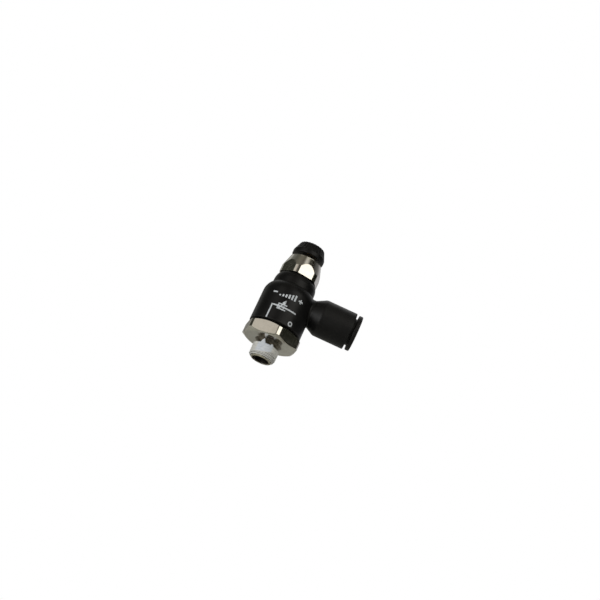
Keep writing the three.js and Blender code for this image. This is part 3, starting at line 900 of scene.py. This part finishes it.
def floor():
    """A pale floor under the stud's end. It is only there from above, where it is seen."""
    work = bmesh.new()
    rim = [work.verts.new((1.6 * math.cos(t), 1.6 * math.sin(t), STUD_END * MM)) for t in even(48)]
    work.faces.new(rim)
    mesh = bpy.data.meshes.new("floor")
    work.to_mesh(mesh)
    work.free()
    obj = link("floor", mesh)
    s = Shader("floor", Roughness=0.8, Specular_IOR_Level=0.2)
    mottle = s.noise(s.place, 40, 4)
    s.feed("Base Color", s.mix(mottle, (0.86, 0.87, 0.82), (0.90, 0.91, 0.86)))
    facing = s.nodes.new("ShaderNodeNewGeometry").outputs["Backfacing"]
    clear = s.nodes.new("ShaderNodeBsdfTransparent")
    both = s.nodes.new("ShaderNodeMixShader")
    s.join(facing, both.inputs[0])
    s.join(s.surface.outputs[0], both.inputs[1])
    s.join(clear.outputs[0], both.inputs[2])
    s.join(both.outputs[0], s.nodes["Material Output"].inputs["Surface"])
    obj.data.materials.append(s.material)
    obj.visible_shadow = False


# The studio round the object: compass direction in degrees (0 is +X, -90 the front), and colour.
ROOM = (
    (-180, (0.030, 0.032, 0.024)),
    (-153, (0.06, 0.06, 0.055)),
    (-147, (0.66, 0.645, 0.58)),
    (-125, (0.66, 0.605, 0.545)),
    (-118, (0.04, 0.036, 0.03)),
    (-89, (0.10, 0.095, 0.08)),
    (-79, (1.9, 1.85, 1.7)),
    (-46, (1.9, 1.85, 1.7)),
    (-38, (0.06, 0.06, 0.05)),
    (-14, (0.005, 0.006, 0.002)),
    (16, (0.006, 0.007, 0.003)),
    (42, (0.42, 0.41, 0.43)),
    (72, (0.62, 0.62, 0.64)),
    (98, (0.50, 0.50, 0.48)),
    (110, (0.07, 0.065, 0.045)),
    (122, (0.50, 0.50, 0.48)),
    (138, (0.50, 0.50, 0.48)),
    (150, (0.03, 0.03, 0.02)),
    (180, (0.030, 0.032, 0.024)),
)
# The same above it, which is what cones that point up reflect, and below the horizon.
HIGH_ROOM = (
    (-180, (0.10, 0.10, 0.085)),
    (-140, (0.17, 0.16, 0.13)),
    (-104, (0.11, 0.10, 0.08)),
    (-92, (0.62, 0.60, 0.54)),
    (-76, (0.62, 0.60, 0.54)),
    (-60, (0.02, 0.018, 0.012)),
    (-20, (0.01, 0.009, 0.006)),
    (20, (0.20, 0.20, 0.20)),
    (80, (0.75, 0.75, 0.74)),
    (130, (0.50, 0.50, 0.48)),
    (180, (0.10, 0.10, 0.085)),
)
LOW_ROOM = (
    (-180, (0.42, 0.42, 0.38)),
    (-140, (0.40, 0.37, 0.33)),
    (-105, (0.12, 0.10, 0.08)),
    (-60, (0.09, 0.08, 0.06)),
    (-20, (0.40, 0.40, 0.42)),
    (30, (0.48, 0.49, 0.42)),
    (90, (0.50, 0.50, 0.41)),
    (150, (0.52, 0.51, 0.44)),
    (180, (0.42, 0.42, 0.38)),
)


def world():
    """White behind the object, and a softly lit room in its reflections."""
    made = bpy.data.worlds.new("studio")
    made.use_nodes = True
    tree = made.node_tree
    bpy.context.scene.world = made
    way = tree.nodes.new("ShaderNodeSeparateXYZ")
    tree.links.new(tree.nodes.new("ShaderNodeTexCoord").outputs["Generated"], way.inputs[0])
    compass = tree.nodes.new("ShaderNodeMath")
    compass.operation = "ARCTAN2"
    tree.links.new(way.outputs["Y"], compass.inputs[0])
    tree.links.new(way.outputs["X"], compass.inputs[1])

    def share(source, low, high):
        node = tree.nodes.new("ShaderNodeMapRange")
        for slot, value in zip(node.inputs[1:3], (low, high)):
            slot.default_value = value
        tree.links.new(source, node.inputs[0])
        return node.outputs[0]

    def blend(factor, first, second):
        node = tree.nodes.new("ShaderNodeMix")
        node.data_type = "RGBA"
        tree.links.new(factor, node.inputs["Factor"])
        for slot, value in zip((node.inputs[6], node.inputs[7]), (first, second)):
            if isinstance(value, tuple):
                slot.default_value = (*value, 1)
            else:
                tree.links.new(value, slot)
        return node.outputs[2]

    def around(table):
        ramp = tree.nodes.new("ShaderNodeValToRGB")
        tree.links.new(share(compass.outputs[0], -math.pi, math.pi), ramp.inputs[0])
        stops = ramp.color_ramp.elements
        while len(stops) < len(table):
            stops.new(0.5)
        for stop, (degrees, colour) in zip(stops, table):
            stop.position = (degrees + 180) / 360
            stop.color = (*colour, 1)
        return ramp.outputs[0]

    height = way.outputs["Z"]
    walls = blend(share(height, math.sin(math.radians(34)), math.sin(math.radians(48))),
                  around(ROOM), around(HIGH_ROOM))
    room = blend(share(height, -0.10, 0.05), around(LOW_ROOM), walls)
    seen = tree.nodes.new("ShaderNodeLightPath").outputs["Is Camera Ray"]
    lit = blend(seen, room, (1.0, 1.0, 1.0))
    tree.links.new(lit, tree.nodes["Background"].inputs["Color"])


def softbox(name, compass, elevation, distance, size, power):
    """A rectangular soft light that faces the object."""
    data = bpy.data.lights.new(name, "AREA")
    data.shape = "RECTANGLE"
    data.size, data.size_y = size
    data.energy = power
    obj = bpy.data.objects.new(name, data)
    a, e = math.radians(compass), math.radians(elevation)
    way = Vector((math.cos(e) * math.cos(a), math.cos(e) * math.sin(a), math.sin(e)))
    aim = Vector((0.004, 0, 0.017))
    obj.location = aim + way * distance
    obj.rotation_euler = way.to_track_quat("Z", "Y").to_euler()
    obj.visible_camera = False
    bpy.context.scene.collection.objects.link(obj)


def camera():
    """Below and in front of the object, tilted, as the object was photographed."""
    elevation, roll = math.radians(-21.3), math.radians(24.8)
    distance, aim = 0.4, Vector((0.00375, 0, BRANCH_HEIGHT * MM + 0.003))
    forward = Vector((0, math.cos(elevation), -math.sin(elevation)))
    level_right = Vector((1, 0, 0))
    level_up = level_right.cross(forward)
    right = level_right * math.cos(roll) + level_up * math.sin(roll)
    up = level_up * math.cos(roll) - level_right * math.sin(roll)
    data = bpy.data.cameras.new("camera")
    data.lens = 67
    data.sensor_width = 36
    data.clip_start = 0.01
    data.clip_end = 20
    obj = bpy.data.objects.new("camera", data)
    pose = Matrix((right, up, -forward)).transposed().to_4x4()
    pose.translation = aim - forward * distance
    obj.matrix_world = pose
    bpy.context.scene.collection.objects.link(obj)
    bpy.context.scene.camera = obj


floor()
world()
softbox("front_low", -135, -15, 0.6, (0.35, 0.25), 1.8)
softbox("rear", 110, 52, 0.7, (0.3, 0.3), 0.14)
softbox("branch_side", 14, -9, 0.6, (0.3, 0.2), 0.5)
camera()
bpy.context.scene.view_settings.view_transform = "Standard"
